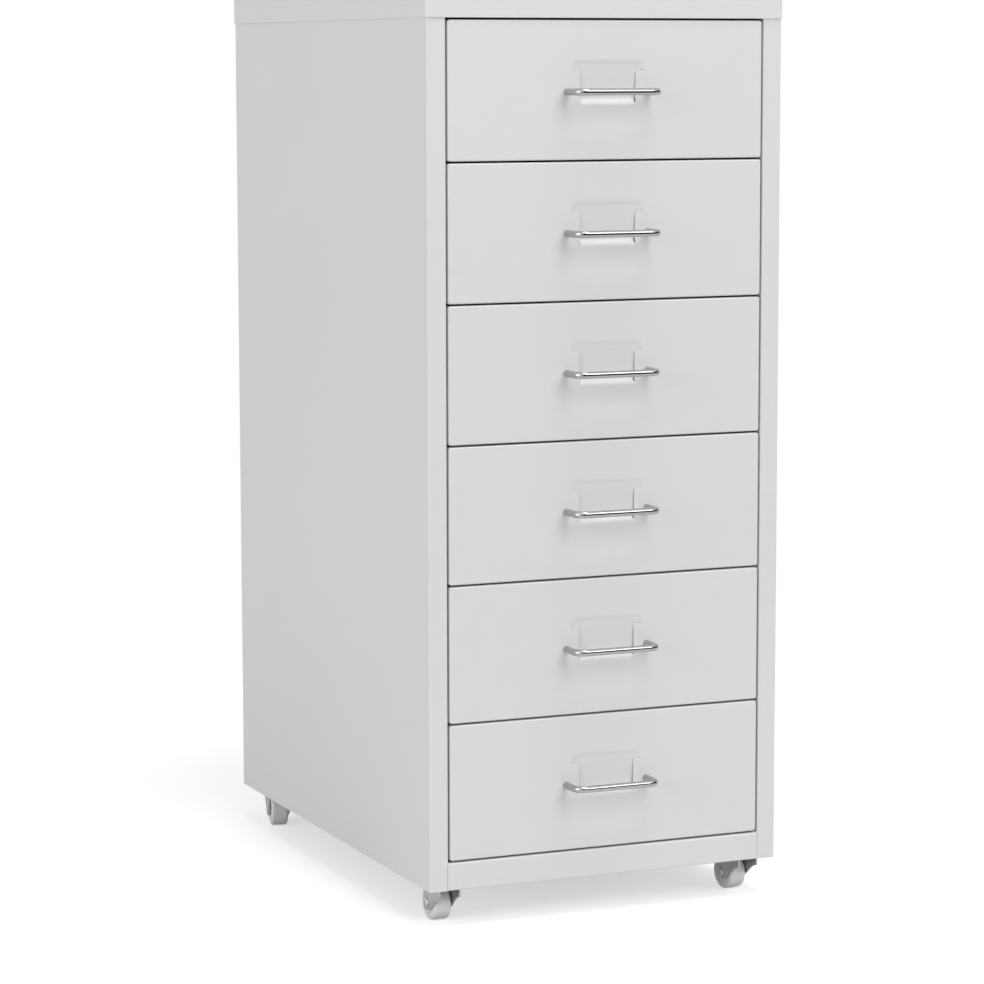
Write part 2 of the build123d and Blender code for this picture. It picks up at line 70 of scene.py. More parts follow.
FRONT_LOW, FRONT_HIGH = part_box("drawer_1_front")
FRONT_HALF_W = FRONT_HIGH.x
FRONT_HALF_H = (FRONT_HIGH.z - FRONT_LOW.z) / 2
FACE_Y = FRONT_LOW.y
PAN_DEPTH = FRONT_HIGH.y - FRONT_LOW.y
WHEEL_LOW, WHEEL_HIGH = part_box("castor_front_left_wheel")

# The packed fork: the round foot of a cheek about its axle, and a height over the arch in front.
FOOT_RADIUS = 5.0 * MM
ARCH_TOP = 24.6 * MM


def front_middle(number):
    """Height of the middle of a drawer front."""
    low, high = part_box(f"drawer_{number}_front")
    return (low.z + high.z) / 2


# ------------------------------------------------------------------ settings
def length(name, description, default):
    """A size in metres."""
    return FloatProperty(name=name, description=description, default=default,
                         min=0.0, precision=5, unit="LENGTH", subtype="DISTANCE")


def share(name, description, default):
    """A number from 0 to 1."""
    return FloatProperty(name=name, description=description, default=default,
                         min=0.0, max=1.0, subtype="FACTOR")


def colour(name, description, default):
    """A colour, in linear light."""
    return FloatVectorProperty(name=name, description=description, default=default,
                               size=3, min=0.0, max=1.0, subtype="COLOR")


class CabinetPaint(bpy.types.PropertyGroup):
    """Powder coat on the casing, the drawers and the runners."""
    coat: colour("Coat", "Colour of the powder coat", (0.700, 0.700, 0.698))
    gloss: share("Roughness", "Roughness of the powder coat", 0.45)
    peel: length("Peel height", "Height of the fine orange peel", 0.000035)
    blotch: share("Blotch", "How much the coat's tone drifts over a panel", 0.012)


class CabinetFront(bpy.types.PropertyGroup):
    """Stamped drawer front with its label pocket."""
    sheet: length("Sheet", "Thickness of the folded sheet", 0.8 * MM)
    fold: length("Fold radius", "Outside radius of the folded edges", 1.2 * MM)
    corner: length("Corner radius", "Upright corner of the front", 2.0 * MM)
    lip: length("Lip", "Width of the rear lip", 12.0 * MM)
    pocket_width: length("Pocket width", "Label pocket over its side tabs", 57.0 * MM)
    pocket_top: length("Pocket top", "Above the middle of the front", 21.5 * MM)
    pocket_bottom: length("Pocket bottom", "Below the middle of the front", 9.5 * MM)
    pocket_depth: length("Pocket depth", "Face to the floor at the pocket's lower end", 2.6 * MM)
    pocket_rise: length("Pocket rise", "Face to the floor at the pocket's upper end", 0.5 * MM)
    window: length("Window", "Width between the side tabs", 44.0 * MM)
    tab_top: length("Tab top", "Above the middle of the front", 14.0 * MM)


class CabinetPull(bpy.types.PropertyGroup):
    """Bent wire pulls."""
    wire: length("Wire", "Diameter of the wire", 5.0 * MM)
    bend: length("Bend radius", "To the middle of the wire", 7.0 * MM)
    plating: colour("Plating", "Colour of the bright plating", (0.44, 0.443, 0.446))


class CabinetFasteners(bpy.types.PropertyGroup):
    """Screws and rivets."""
    head: length("Head", "Diameter of a screw head", 7.6 * MM)
    height: length("Head height", "Height of a screw head", 1.6 * MM)
    shank: length("Shank", "Diameter of a screw", 4.0 * MM)
    reach: length("Length", "Length of a screw under its head", 8.0 * MM)
    zinc: colour("Zinc", "Colour of the zinc plating", (0.50, 0.51, 0.52))


class CabinetCastors(bpy.types.PropertyGroup):
    """Swivel castors."""
    edge: length("Tread edge", "Rounding of the wheel's tread", 2.0 * MM)
    dish: length("Dish", "Depth of the recess in each side of a wheel", 1.0 * MM)
    hub: length("Hub", "Diameter of the wheel's hub", 9.0 * MM)
    horn_reach: length("Horn reach", "Fork cheek lengthened at its front corner", 2.5 * MM)
    horn_corner: length("Horn corner", "Front corner of a cheek, under the swivel", 8.6 * MM)
    nylon: colour("Nylon", "Colour of the wheels", (0.80, 0.795, 0.77))
    steel: colour("Steel", "Colour of the plated forks", (0.50, 0.50, 0.50))
    turns: IntProperty(name="Facets", description="Facets round a wheel", default=96, min=24)


class CabinetStage(bpy.types.PropertyGroup):
    """Floor, backdrop and lights."""
    key: FloatProperty(name="Key", description="Power of the large key light",
                       default=91.0, min=0.0, unit="POWER")
    top: FloatProperty(name="Top", description="Power of the light overhead",
                       default=46.0, min=0.0, unit="POWER")
    fill: FloatProperty(name="Fill", description="Power of the light on the left side",
                        default=56.0, min=0.0, unit="POWER")
    sky: share("Sky", "Strength of the even light from all round", 0.49)


# ------------------------------------------------------------------ mesh helpers
def put(mesh, name):
    """A new object for a mesh, at the origin."""
    made = bpy.data.objects.new(name, mesh)
    bpy.context.scene.collection.objects.link(made)
    return made


def to_mesh(shape, name):
    """A plain mesh from a bmesh."""
    mesh = bpy.data.meshes.new(name)
    shape.to_mesh(mesh)
    shape.free()
    return mesh


def plain(made):
    """The object with its modifiers worked into a plain mesh."""
    graph = bpy.context.evaluated_depsgraph_get()
    mesh = bpy.data.meshes.new_from_object(made.evaluated_get(graph))
    mesh.name = made.name
    made.modifiers.clear()
    made.data = mesh
    return made


def smoothed(made, angle=32.0):
    """Smooth folds and flat faces: edges under the angle are smooth, and large faces lead."""
    made.data.polygons.foreach_set("use_smooth", [True] * len(made.data.polygons))
    made.data.set_sharp_from_angle(angle=math.radians(angle))
    leading = made.modifiers.new("leading faces", "WEIGHTED_NORMAL")
    leading.mode = "FACE_AREA"
    leading.weight = 60
    leading.keep_sharp = True
    return plain(made)


def dress(made, body, finish, slot, *nodes):
    """Gives a piece its finish and its body, in place of the nodes."""
    made.data.materials.clear()
    made.data.materials.append(finish)
    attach(made, body)
    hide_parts(*nodes)
    return made


def welded(node, name):
    """A copy of a CAD node with its triangles joined into whole faces."""
    shape = bmesh.new()
    shape.from_mesh(frame["nodes"][node].data)
    bmesh.ops.remove_doubles(shape, verts=shape.verts, dist=WELD)
    bmesh.ops.dissolve_limit(shape, angle_limit=math.radians(0.2), verts=shape.verts,
                             edges=shape.edges)
    return put(to_mesh(shape, name), name)


def loft(shape, rings, closed_start=False, closed_end=False):
    """Quads between rings of points, each ring closed."""
    made = [[shape.verts.new(p) for p in ring] for ring in rings]
    for near, far in zip(made, made[1:]):
        for i in range(len(near)):
            k = (i + 1) % len(near)
            shape.faces.new((near[i], near[k], far[k], far[i]))
    if closed_start:
        shape.faces.new(list(reversed(made[0])))
    if closed_end:
        shape.faces.new(made[-1])
    return made


def circles(profile, steps, matrix=Matrix.Identity(4)):
    """Rings of points round Z, one for each radius and height of a profile."""
    rings = []
    for radius, height in profile:
        ring = []
        for i in range(steps):
            angle = math.tau * i / steps
            ring.append(matrix @ Vector((radius * math.cos(angle),
                                         radius * math.sin(angle), height)))
        rings.append(ring)
    return rings


def turned(profile, steps, matrix=Matrix.Identity(4)):
    """A solid turned round Z. The profile is radius and height, from one end to the other."""
    shape = bmesh.new()
    loft(shape, circles(profile, steps, matrix), closed_start=True, closed_end=True)
    bmesh.ops.recalc_face_normals(shape, faces=shape.faces)
    return shape


def arc(centre, radius, start, end, steps):
    """Points of an arc in a plane, angles in degrees."""
    points = []
    for i in range(steps + 1):
        angle = math.radians(start + (end - start) * i / steps)
        points.append((centre[0] + radius * math.cos(angle),
                       centre[1] + radius * math.sin(angle)))
    return points


# ------------------------------------------------------------------ shared shader groups
def new_group(name, inputs, outputs):
    """An empty shader group with its sockets."""
    group = bpy.data.node_groups.new(name, "ShaderNodeTree")
    for label, kind, default in inputs:
        socket = group.interface.new_socket(name=label, in_out="INPUT", socket_type=kind)
        if default is not None:
            socket.default_value = default
    for label, kind in outputs:
        group.interface.new_socket(name=label, in_out="OUTPUT", socket_type=kind)
    start = group.nodes.new("NodeGroupInput")
    end = group.nodes.new("NodeGroupOutput")
    return group, start, end


def noise(nodes, detail, roughness=0.5):
    """A noise texture with its fixed settings."""
    made = nodes.new("ShaderNodeTexNoise")
    made.inputs["Detail"].default_value = detail
    made.inputs["Roughness"].default_value = roughness
    return made


def feed(link, start, size, texture):
    """Feeds a noise texture with the place and the size that its group is given."""
    link(start.outputs["Place"], texture.inputs["Vector"])
    link(start.outputs[size], texture.inputs["Scale"])


def maths(nodes, operation, constants=None):
    """A maths node, with its constants by the number of their input."""
    made = nodes.new("ShaderNodeMath")
    made.operation = operation
    for number, value in (constants or {}).items():
        made.inputs[number].default_value = value
    return made


def bump(nodes, height, distance, link):
    """A bump node fed by a height and a distance."""
    made = nodes.new("ShaderNodeBump")
    made.inputs["Strength"].default_value = 1.0
    link(height, made.inputs["Height"])
    link(distance, made.inputs["Distance"])
    return made


def drift_group():
    """Tone that drifts slowly over a surface: colour out, and the mask of the drift."""
    group, start, end = new_group(
        "tone_drift",
        [("Place", "NodeSocketVector", None), ("Colour", "NodeSocketColor", (1, 1, 1, 1)),
         ("Size", "NodeSocketFloat", 6.0), ("Amount", "NodeSocketFloat", 0.05)],
        [("Colour", "NodeSocketColor"), ("Mask", "NodeSocketFloat")])
    cloud = noise(group.nodes, 3.0, 0.55)
    spread = group.nodes.new("ShaderNodeMapRange")
    spread.inputs["From Min"].default_value = 0.3
    spread.inputs["From Max"].default_value = 0.7
    spread.inputs["To Min"].default_value = -1.0
    scaled = maths(group.nodes, "MULTIPLY_ADD", {2: 1.0})
    tinted = group.nodes.new("ShaderNodeVectorMath")
    tinted.operation = "SCALE"
    link = group.links.new
    feed(link, start, "Size", cloud)
    link(cloud.outputs["Fac"], spread.inputs["Value"])
    link(spread.outputs["Result"], scaled.inputs[0])
    link(start.outputs["Amount"], scaled.inputs[1])
    link(start.outputs["Colour"], tinted.inputs[0])
    link(scaled.outputs["Value"], tinted.inputs["Scale"])
    link(tinted.outputs["Vector"], end.inputs["Colour"])
    link(cloud.outputs["Fac"], end.inputs["Mask"])
    return group


def grain_group():
    """Fine grain over a slow wave of the sheet: a normal out."""
    group, start, end = new_group(
        "grain_and_wave",
        [("Place", "NodeSocketVector", None),
         ("Grain size", "NodeSocketFloat", 900.0), ("Grain height", "NodeSocketFloat", 0.00003),
         ("Wave size", "NodeSocketFloat", 5.0), ("Wave height", "NodeSocketFloat", 0.0002)],
        [("Normal", "NodeSocketVector")])
    fine = noise(group.nodes, 2.0)
    slow = noise(group.nodes, 0.0)
    link = group.links.new
    feed(link, start, "Grain size", fine)
    feed(link, start, "Wave size", slow)
    wave = bump(group.nodes, slow.outputs["Fac"], start.outputs["Wave height"], link)
    grain = bump(group.nodes, fine.outputs["Fac"], start.outputs["Grain height"], link)
    link(wave.outputs["Normal"], grain.inputs["Normal"])
    link(grain.outputs["Normal"], end.inputs["Normal"])
    return group


def smudge_group():
    """Roughness that changes softly, as after handling: a roughness out."""
    group, start, end = new_group(
        "handling",
        [("Place", "NodeSocketVector", None), ("Roughness", "NodeSocketFloat", 0.4),
         ("Spread", "NodeSocketFloat", 0.06), ("Size", "NodeSocketFloat", 30.0)],
        [("Roughness", "NodeSocketFloat")])
    cloud = noise(group.nodes, 4.0, 0.6)
    centred = maths(group.nodes, "SUBTRACT", {1: 0.5})
    moved = maths(group.nodes, "MULTIPLY_ADD")
    moved.use_clamp = True
    link = group.links.new
    feed(link, start, "Size", cloud)
    link(cloud.outputs["Fac"], centred.inputs[0])
    link(centred.outputs["Value"], moved.inputs[0])
    link(start.outputs["Spread"], moved.inputs[1])
    link(start.outputs["Roughness"], moved.inputs[2])
    link(moved.outputs["Value"], end.inputs["Roughness"])
    return group


GROUP_MAKERS = {"tone_drift": drift_group, "grain_and_wave": grain_group,
                "handling": smudge_group}


def shader_group(name):
    """A shared shader group, made once."""
    return bpy.data.node_groups.get(name) or GROUP_MAKERS[name]()


# ------------------------------------------------------------------ materials
def surface(name, tint, roughness, drift, grain, handling, **sockets):
    """A material with the shared effects. Sockets are constants of the shader itself."""
    made = bpy.data.materials.get(name)
    if made:
        return made
    made = bpy.data.materials.new(name)
    made.use_nodes = True
    nodes, link = made.node_tree.nodes, made.node_tree.links.new
    shader = nodes["Principled BSDF"]
    for socket, value in sockets.items():
        shader.inputs[socket.replace("_", " ").title()].default_value = value
    place = nodes.new("ShaderNodeTexCoord").outputs["Object"]

    def effect(group, values):
        """A shared group placed in this material, with its own values."""
        node = nodes.new("ShaderNodeGroup")
        node.node_tree = shader_group(group)
        link(place, node.inputs["Place"])
        for socket, value in values.items():
            node.inputs[socket].default_value = value
        return node

    toned = effect("tone_drift", {"Colour": (*tint, 1.0), **drift})
    link(toned.outputs["Colour"], shader.inputs["Base Color"])
    rubbed = effect("handling", {"Roughness": roughness, **handling})
    link(rubbed.outputs["Roughness"], shader.inputs["Roughness"])
    bumped = effect("grain_and_wave", grain)
    link(bumped.outputs["Normal"], shader.inputs["Normal"])
    return made


def powder_coat():
    """Satin light grey powder coat with its fine orange peel."""
    paint = bpy.context.scene.cabinet_paint
    return surface(
        "light_grey_powder_coat", paint.coat, paint.gloss,
        {"Size": 3.2, "Amount": paint.blotch},
        {"Grain size": 1100.0, "Grain height": paint.peel, "Wave size": 4.0,
         "Wave height": 0.0005},
        {"Spread": 0.08, "Size": 14.0})


def bright_chrome():
    """Polished chrome with faint finger marks."""
    return surface(
        "bright_chrome", bpy.context.scene.cabinet_pull.plating, 0.12,
        {"Size": 40.0, "Amount": 0.03},
        {"Grain size": 500.0, "Grain height": 0.0000004, "Wave size": 20.0,
         "Wave height": 0.000004},
        {"Spread": 0.06, "Size": 60.0}, metallic=1.0)


def zinc_plate():
    """Bright zinc on screws and rivets."""
    return surface(
        "bright_zinc", bpy.context.scene.cabinet_fasteners.zinc, 0.34,
        {"Size": 260.0, "Amount": 0.14},
        {"Grain size": 2600.0, "Grain height": 0.000012, "Wave size": 300.0,
         "Wave height": 0.00002},
        {"Spread": 0.2, "Size": 400.0}, metallic=1.0)


def pressed_steel():
    """Zinc-plated pressed steel of the castors."""
    return surface(
        "plated_pressed_steel", bpy.context.scene.cabinet_castors.steel, 0.36,
        {"Size": 150.0, "Amount": 0.12},
        {"Grain size": 1800.0, "Grain height": 0.00002, "Wave size": 90.0,
         "Wave height": 0.00004},
        {"Spread": 0.22, "Size": 180.0}, metallic=1.0)


def pale_nylon():
    """Moulded nylon of the wheels."""
    return surface(
        "pale_nylon", bpy.context.scene.cabinet_castors.nylon, 0.5,
        {"Size": 120.0, "Amount": 0.06},
        {"Grain size": 2200.0, "Grain height": 0.00002, "Wave size": 160.0,
         "Wave height": 0.00003},
        {"Spread": 0.15, "Size": 160.0}, subsurface_weight=0.06)


# ------------------------------------------------------------------ geometry node trees
def new_tree(name, inputs):
    """An empty geometry node tree with its named inputs, and its sockets by name."""
    tree = bpy.data.node_groups.new(name, "GeometryNodeTree")
    tree.interface.new_socket(name="Geometry", in_out="INPUT",
                              socket_type="NodeSocketGeometry")
    for label, kind in inputs:
        tree.interface.new_socket(name=label, in_out="INPUT", socket_type=kind)
    tree.interface.new_socket(name="Geometry", in_out="OUTPUT",
                              socket_type="NodeSocketGeometry")
    return tree, tree.nodes.new("NodeGroupInput"), tree.nodes.new("NodeGroupOutput")


def run_tree(made, tree, values):
    """Runs a tree on an object with its inputs by name, and keeps the plain mesh."""
    modifier = made.modifiers.new(tree.name, "NODES")
    modifier.node_group = tree
    sockets = {item.name: item.identifier for item in tree.interface.items_tree
               if item.item_type == "SOCKET" and item.in_out == "INPUT"}
    for label, value in values.items():
        modifier[sockets[label]] = value
    return plain(made)


def finish_tree(tree, geometry, start, end):
    """Realize Instances and Set Material close every tree."""
    real = tree.nodes.new("GeometryNodeRealizeInstances")
    coated = tree.nodes.new("GeometryNodeSetMaterial")
    tree.links.new(geometry, real.inputs["Geometry"])
    tree.links.new(real.outputs["Geometry"], coated.inputs["Geometry"])
    tree.links.new(start.outputs["Finish"], coated.inputs["Material"])
    tree.links.new(coated.outputs["Geometry"], end.inputs["Geometry"])
    return tree


def bent_wire_tree():
    """Wire bent along a line of corners."""
    name = "bent_wire"
    if name in bpy.data.node_groups:
        return bpy.data.node_groups[name]
    tree, start, end = new_tree(name, [
        ("Wire diameter", "NodeSocketFloat"), ("Bend radius", "NodeSocketFloat"),
        ("Facets", "NodeSocketInt"), ("Finish", "NodeSocketMaterial")])
    line = tree.nodes.new("GeometryNodeMeshToCurve")
    bend = tree.nodes.new("GeometryNodeFilletCurve")
    bend.mode = "POLY"
    bend.inputs["Count"].default_value = 12
    half = maths(tree.nodes, "MULTIPLY", {1: 0.5})
    ring = tree.nodes.new("GeometryNodeCurvePrimitiveCircle")
    tube = tree.nodes.new("GeometryNodeCurveToMesh")
    tube.inputs["Fill Caps"].default_value = True
    link = tree.links.new
    link(start.outputs["Geometry"], line.inputs["Mesh"])
    link(line.outputs["Curve"], bend.inputs["Curve"])
    link(start.outputs["Bend radius"], bend.inputs["Radius"])
    link(start.outputs["Wire diameter"], half.inputs[0])
    link(half.outputs["Value"], ring.inputs["Radius"])
    link(start.outputs["Facets"], ring.inputs["Resolution"])
    link(bend.outputs["Curve"], tube.inputs["Curve"])
    link(ring.outputs["Curve"], tube.inputs["Profile Curve"])
    return finish_tree(tree, tube.outputs["Mesh"], start, end)


def row_tree():
    """The same small piece at every point, all turned the same way."""
    name = "same_piece_at_points"
    if name in bpy.data.node_groups:
        return bpy.data.node_groups[name]
    tree, start, end = new_tree(name, [
        ("Piece", "NodeSocketObject"), ("Turn", "NodeSocketRotation"),
        ("Drive spread", "NodeSocketFloat"), ("Seed", "NodeSocketInt"),
        ("Finish", "NodeSocketMaterial")])
    piece = tree.nodes.new("GeometryNodeObjectInfo")
    chance = tree.nodes.new("FunctionNodeRandomValue")
    low = maths(tree.nodes, "MULTIPLY", {1: -1.0})
    spin = tree.nodes.new("FunctionNodeAxisAngleToRotation")
    spin.inputs["Axis"].default_value = (0.0, 0.0, 1.0)
    both = tree.nodes.new("FunctionNodeRotateRotation")
    both.rotation_space = "LOCAL"
    placed = tree.nodes.new("GeometryNodeInstanceOnPoints")
    link = tree.links.new
    link(start.outputs["Piece"], piece.inputs["Object"])
    link(start.outputs["Drive spread"], low.inputs[0])
    lowest, highest, number = chance.inputs[2], chance.inputs[3], chance.outputs[1]
    link(low.outputs["Value"], lowest)
    link(start.outputs["Drive spread"], highest)
    link(start.outputs["Seed"], chance.inputs["Seed"])
    link(number, spin.inputs["Angle"])
    link(start.outputs["Turn"], both.inputs["Rotation"])
    link(spin.outputs["Rotation"], both.inputs["Rotate By"])
    link(start.outputs["Geometry"], placed.inputs["Points"])
    link(piece.outputs["Geometry"], placed.inputs["Instance"])
    link(both.outputs["Rotation"], placed.inputs["Rotation"])
    return finish_tree(tree, placed.outputs["Instances"], start, end)


def line_of_points(points, name, joined=False):
    """Points as a mesh, joined in a line where asked."""
    mesh = bpy.data.meshes.new(name)
    edges = [(i, i + 1) for i in range(len(points) - 1)] if joined else []
    mesh.from_pydata([tuple(p) for p in points], edges, [])
    return put(mesh, name)


# ------------------------------------------------------------------ drawer front
def rounded_ring(half_x, half_z, radius, middle_z, depth, steps=6):
    """Points round a rounded rectangle in the drawer face, at a depth behind it."""
    radius = max(radius, 0.1 * MM)
    points = []
    for sx, sz, first in ((1, 1, 0), (-1, 1, 90), (-1, -1, 180), (1, -1, 270)):
        centre = (sx * (half_x - radius), middle_z + sz * (half_z - radius))
        for x, z in arc(centre, radius, first, first + 90, steps):
            points.append(Vector((x, FACE_Y + depth, z)))
    return points


def pocket_outline(front, steps=7):
    """Points, inward normals and kind round the visible opening of the label pocket.
    Kind 0 is the stamped slope and 1 the free edge of a tab."""
    wide, narrow = front.pocket_width / 2, front.window / 2
    low, shoulder, high = -front.pocket_bottom, front.tab_top, front.pocket_top
    small, tab_r, large = 0.8 * MM, 2.4 * MM, 4.5 * MM
    corners = [
        ((narrow, low), small, 0, 1), ((narrow, shoulder), tab_r, 1, 1),
        ((wide, shoulder), small, 1, 0), ((wide, high), large, 0, 0),
        ((-wide, high), large, 0, 0), ((-wide, shoulder), small, 0, 1),
        ((-narrow, shoulder), tab_r, 1, 1), ((-narrow, low), small, 1, 0),
    ]
    found = []
    for i, (corner, radius, kind_in, kind_out) in enumerate(corners):
        here = Vector(corner)
        back = (Vector(corners[i - 1][0]) - here).normalized()
        ahead = (Vector(corners[(i + 1) % len(corners)][0]) - here).normalized()
        centre = here + (back + ahead) * radius
        turn = 1.0 if back.cross(ahead) < 0 else -1.0
        for k in range(steps + 1):
            t = k / steps
            swing = (1 - t) * math.pi / 2
            out = -(ahead * math.sin(swing) + back * math.cos(swing))
            point = centre + out * radius
            found.append((point, -out * turn, kind_in + (kind_out - kind_in) * t))
    return found


# Steps of a pocket edge: reach inwards in millimetres, then the share of the floor's depth on
# a stamped slope, and millimetres behind the face on the free edge of a tab.
STAMPED_EDGE = [(-1.9, 0.0), (-0.9, 0.03), (0.0, 0.10), (0.9, 0.26),
                (2.3, 0.70), (2.9, 0.87), (3.4, 0.96), (4.0, 1.0)]
TAB_EDGE = [(-0.25, 0.0), (-0.10, 0.03), (-0.03, 0.10), (0.0, 0.25),
            (0.0, 0.62), (-0.12, 0.80), (-5.2, 0.85)]


def front_shell(front):
    """The whole drawer front round its own middle: stamped face, pocket, folded sides, lip."""
    shape = bmesh.new()
    sheet, fold, corner = front.sheet, front.fold, front.corner

    def pan_ring(inset, depth):
        """The outline of the front, drawn in by an inset, at a depth behind its face."""
        return rounded_ring(FRONT_HALF_W - inset, FRONT_HALF_H - inset, corner - inset, 0.0, depth)

    outside = [pan_ring(fold - x, fold - y)
               for x, y in arc((0.0, 0.0), fold, 90, 0, 6)]
    bevel, ease = 0.4 * MM, 0.12 * MM
    outside += [pan_ring(0.0, PAN_DEPTH - bevel), pan_ring(ease, PAN_DEPTH - ease),
                pan_ring(bevel, PAN_DEPTH), pan_ring(front.lip, PAN_DEPTH),
                pan_ring(front.lip, PAN_DEPTH - sheet), pan_ring(fold, PAN_DEPTH - sheet),
                pan_ring(sheet, PAN_DEPTH - fold), pan_ring(sheet, fold),
                pan_ring(fold, sheet)]
    middle = (front.pocket_top - front.pocket_bottom) / 2
    tall = (front.pocket_top + front.pocket_bottom) / 2
    rim, bulge, corner_r = 2.0 * MM, 1.2 * MM, 3.0 * MM
    for spread, depth in ((rim, sheet), (bulge, front.pocket_depth + sheet)):
        outside.append(rounded_ring(front.pocket_width / 2 + spread, tall + spread,
                                    corner_r + spread, middle, depth))
    face_edge = loft(shape, outside, closed_end=True)[0]

    def floor_depth(z):
        """How deep the sloping floor of the pocket lies at a height."""
        fall = (front.pocket_top - z) / (front.pocket_top + front.pocket_bottom)
        return front.pocket_rise + (front.pocket_depth - front.pocket_rise) * fall

    rings = []
    for step, (stamped_reach, stamped_share) in enumerate(STAMPED_EDGE):
        ring = []
        for point, inward, kind in pocket_outline(front):
            tab_reach, tab_depth = TAB_EDGE[min(step, len(TAB_EDGE) - 1)]
            at = point + inward * (stamped_reach + (tab_reach - stamped_reach) * kind) * MM
            sunk = floor_depth(at.y)
            edge = sunk if step == len(TAB_EDGE) else tab_depth * MM
            depth = stamped_share * sunk * (1 - kind) + edge * kind
            ring.append(Vector((at.x, FACE_Y + depth, at.y)))
        rings.append(ring)
    pocket_rings = loft(shape, rings)
    for loop in ([face_edge, pocket_rings[0]], [pocket_rings[-1]]):
        edges = []
        for ring in loop:
            for i, vert in enumerate(ring):
                edges.append(shape.edges.get((vert, ring[(i + 1) % len(ring)])))
        bmesh.ops.triangle_fill(shape, use_beauty=True, edges=edges)
    bmesh.ops.recalc_face_normals(shape, faces=shape.faces)
    return shape


class CABINET_OT_fronts(bpy.types.Operator):
    """Builds the stamped drawer fronts with their label pockets"""
    bl_idname = "cabinet.fronts"
    bl_label = "Drawer fronts"

    def execute(self, context):
        shape = front_shell(context.scene.cabinet_front)
        pattern = to_mesh(shape, "front_pattern")
        for number in DRAWERS:
            mesh = pattern.copy()
            mesh.transform(Matrix.Translation((0, 0, front_middle(number))))
            made = smoothed(put(mesh, f"drawer_{number}_stamped_front"), 38.0)
            dress(made, f"drawer_{number}", powder_coat(), "paint", f"drawer_{number}_front")
        bpy.data.meshes.remove(pattern)
        return {"FINISHED"}


# ------------------------------------------------------------------ sheet pieces
def coat(node, body, change=None):
    """Dresses a sheet piece in powder coat, as it was packed or with a change to its mesh."""
    made = welded(node, f"{node}_coated")
    if change:
        change(made.data)
    dress(smoothed(made), body, powder_coat(), "paint", node)


def close_rail(mesh):
    """Slants the rail's left cut end, so that it fills the fold of the stile there."""
    sheet, slant, near = 0.8 * MM, 0.6 * MM, 0.05 * MM
    end = min(v.co.x for v in mesh.vertices if v.co.y < FACE_Y + sheet / 2)
    for vert in mesh.vertices:
        if abs(vert.co.x - end) < near:
            forward = (FACE_Y + sheet - vert.co.y) / sheet
            vert.co.x -= slant * min(max(forward, 0.0), 1.0)


class CABINET_OT_casing(bpy.types.Operator):
    """Dresses the folded panels and the cover of the casing"""
    bl_idname = "cabinet.casing"
    bl_label = "Casing"

    def execute(self, context):
        for node in CASING:
            coat(node, "cabinet", close_rail if node == "base_panel" else None)
        return {"FINISHED"}


class CABINET_OT_trays(bpy.types.Operator):
    """Dresses the folded drawer trays"""
    bl_idname = "cabinet.trays"
    bl_label = "Drawer trays"

    def execute(self, context):
        for number in DRAWERS:
            coat(f"drawer_{number}_tray", f"drawer_{number}")
        return {"FINISHED"}


class CABINET_OT_runners(bpy.types.Operator):
    """Dresses the drawer runners"""
    bl_idname = "cabinet.runners"
    bl_label = "Runners"

    def execute(self, context):
        for number in DRAWERS:
            for side in ("left", "right"):
                coat(f"{side}_runner_{number}", "cabinet")
        return {"FINISHED"}


# ------------------------------------------------------------------ pulls
class CABINET_OT_pulls(bpy.types.Operator):
    """Bends the chromed wire pulls"""
    bl_idname = "cabinet.pulls"
    bl_label = "Pulls"

    def execute(self, context):
        pull = context.scene.cabinet_pull
        for number in DRAWERS:
            low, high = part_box(f"drawer_{number}_handle")
            half = pull.wire / 2
            left, right = low.x + half, high.x - half
            front, back, level = low.y + half, high.y, (low.z + high.z) / 2
            path = [(left, back, level), (left, front, level),
                    (right, front, level), (right, back, level)]
            made = line_of_points(path, f"drawer_{number}_wire_pull", joined=True)
            run_tree(made, bent_wire_tree(), {
                "Wire diameter": pull.wire, "Bend radius": pull.bend, "Facets": 32,
                "Finish": bright_chrome()})
            smoothed(made, 50.0)
            dress(made, f"drawer_{number}", bright_chrome(), "chrome", f"drawer_{number}_handle")
        return {"FINISHED"}


# ------------------------------------------------------------------ screws and rivets
def screw_shape(head, height, shank, reach, recess):
    """A screw or rivet with its head up Z, and with a cross recess where it has one."""
    radius, pole, tip, collar = head / 2, 0.01 * MM, shank * 0.14, 0.32
    profile = [(pole, -reach), (shank / 2 - tip, -reach), (shank / 2, -reach + tip),
               (shank / 2, 0.0), (radius, 0.0), (radius, height * collar)]
    for x, z in arc((0.0, 0.0), 1.0, 12, 90, 6):
        profile.append((max(x * radius, pole), height * (collar + (1.0 - collar) * z)))
    shape = turned(profile, 32)
    made = put(to_mesh(shape, "screw_pattern"), "screw_pattern")
    if not recess:
        return smoothed(made)
    cross = bmesh.new()
    long, narrow, deep = head * 0.56, head * 0.11, height * 1.1
    for turn in (0.0, math.pi / 2):
        matrix = (Matrix.Translation((0, 0, height)) @ Matrix.Rotation(turn, 4, "Z")
                  @ Matrix.Diagonal((long, narrow, deep, 1.0)))
        bmesh.ops.create_cube(cross, size=1.0, matrix=matrix)
    cutter = put(to_mesh(cross, "driver_pattern"), "driver_pattern")
    cut = made.modifiers.new("recess", "BOOLEAN")
    cut.operation = "DIFFERENCE"
    cut.solver = "EXACT"
    cut.use_self = True
    cut.object = cutter
    smoothed(plain(made))
    bpy.data.objects.remove(cutter)
    return made


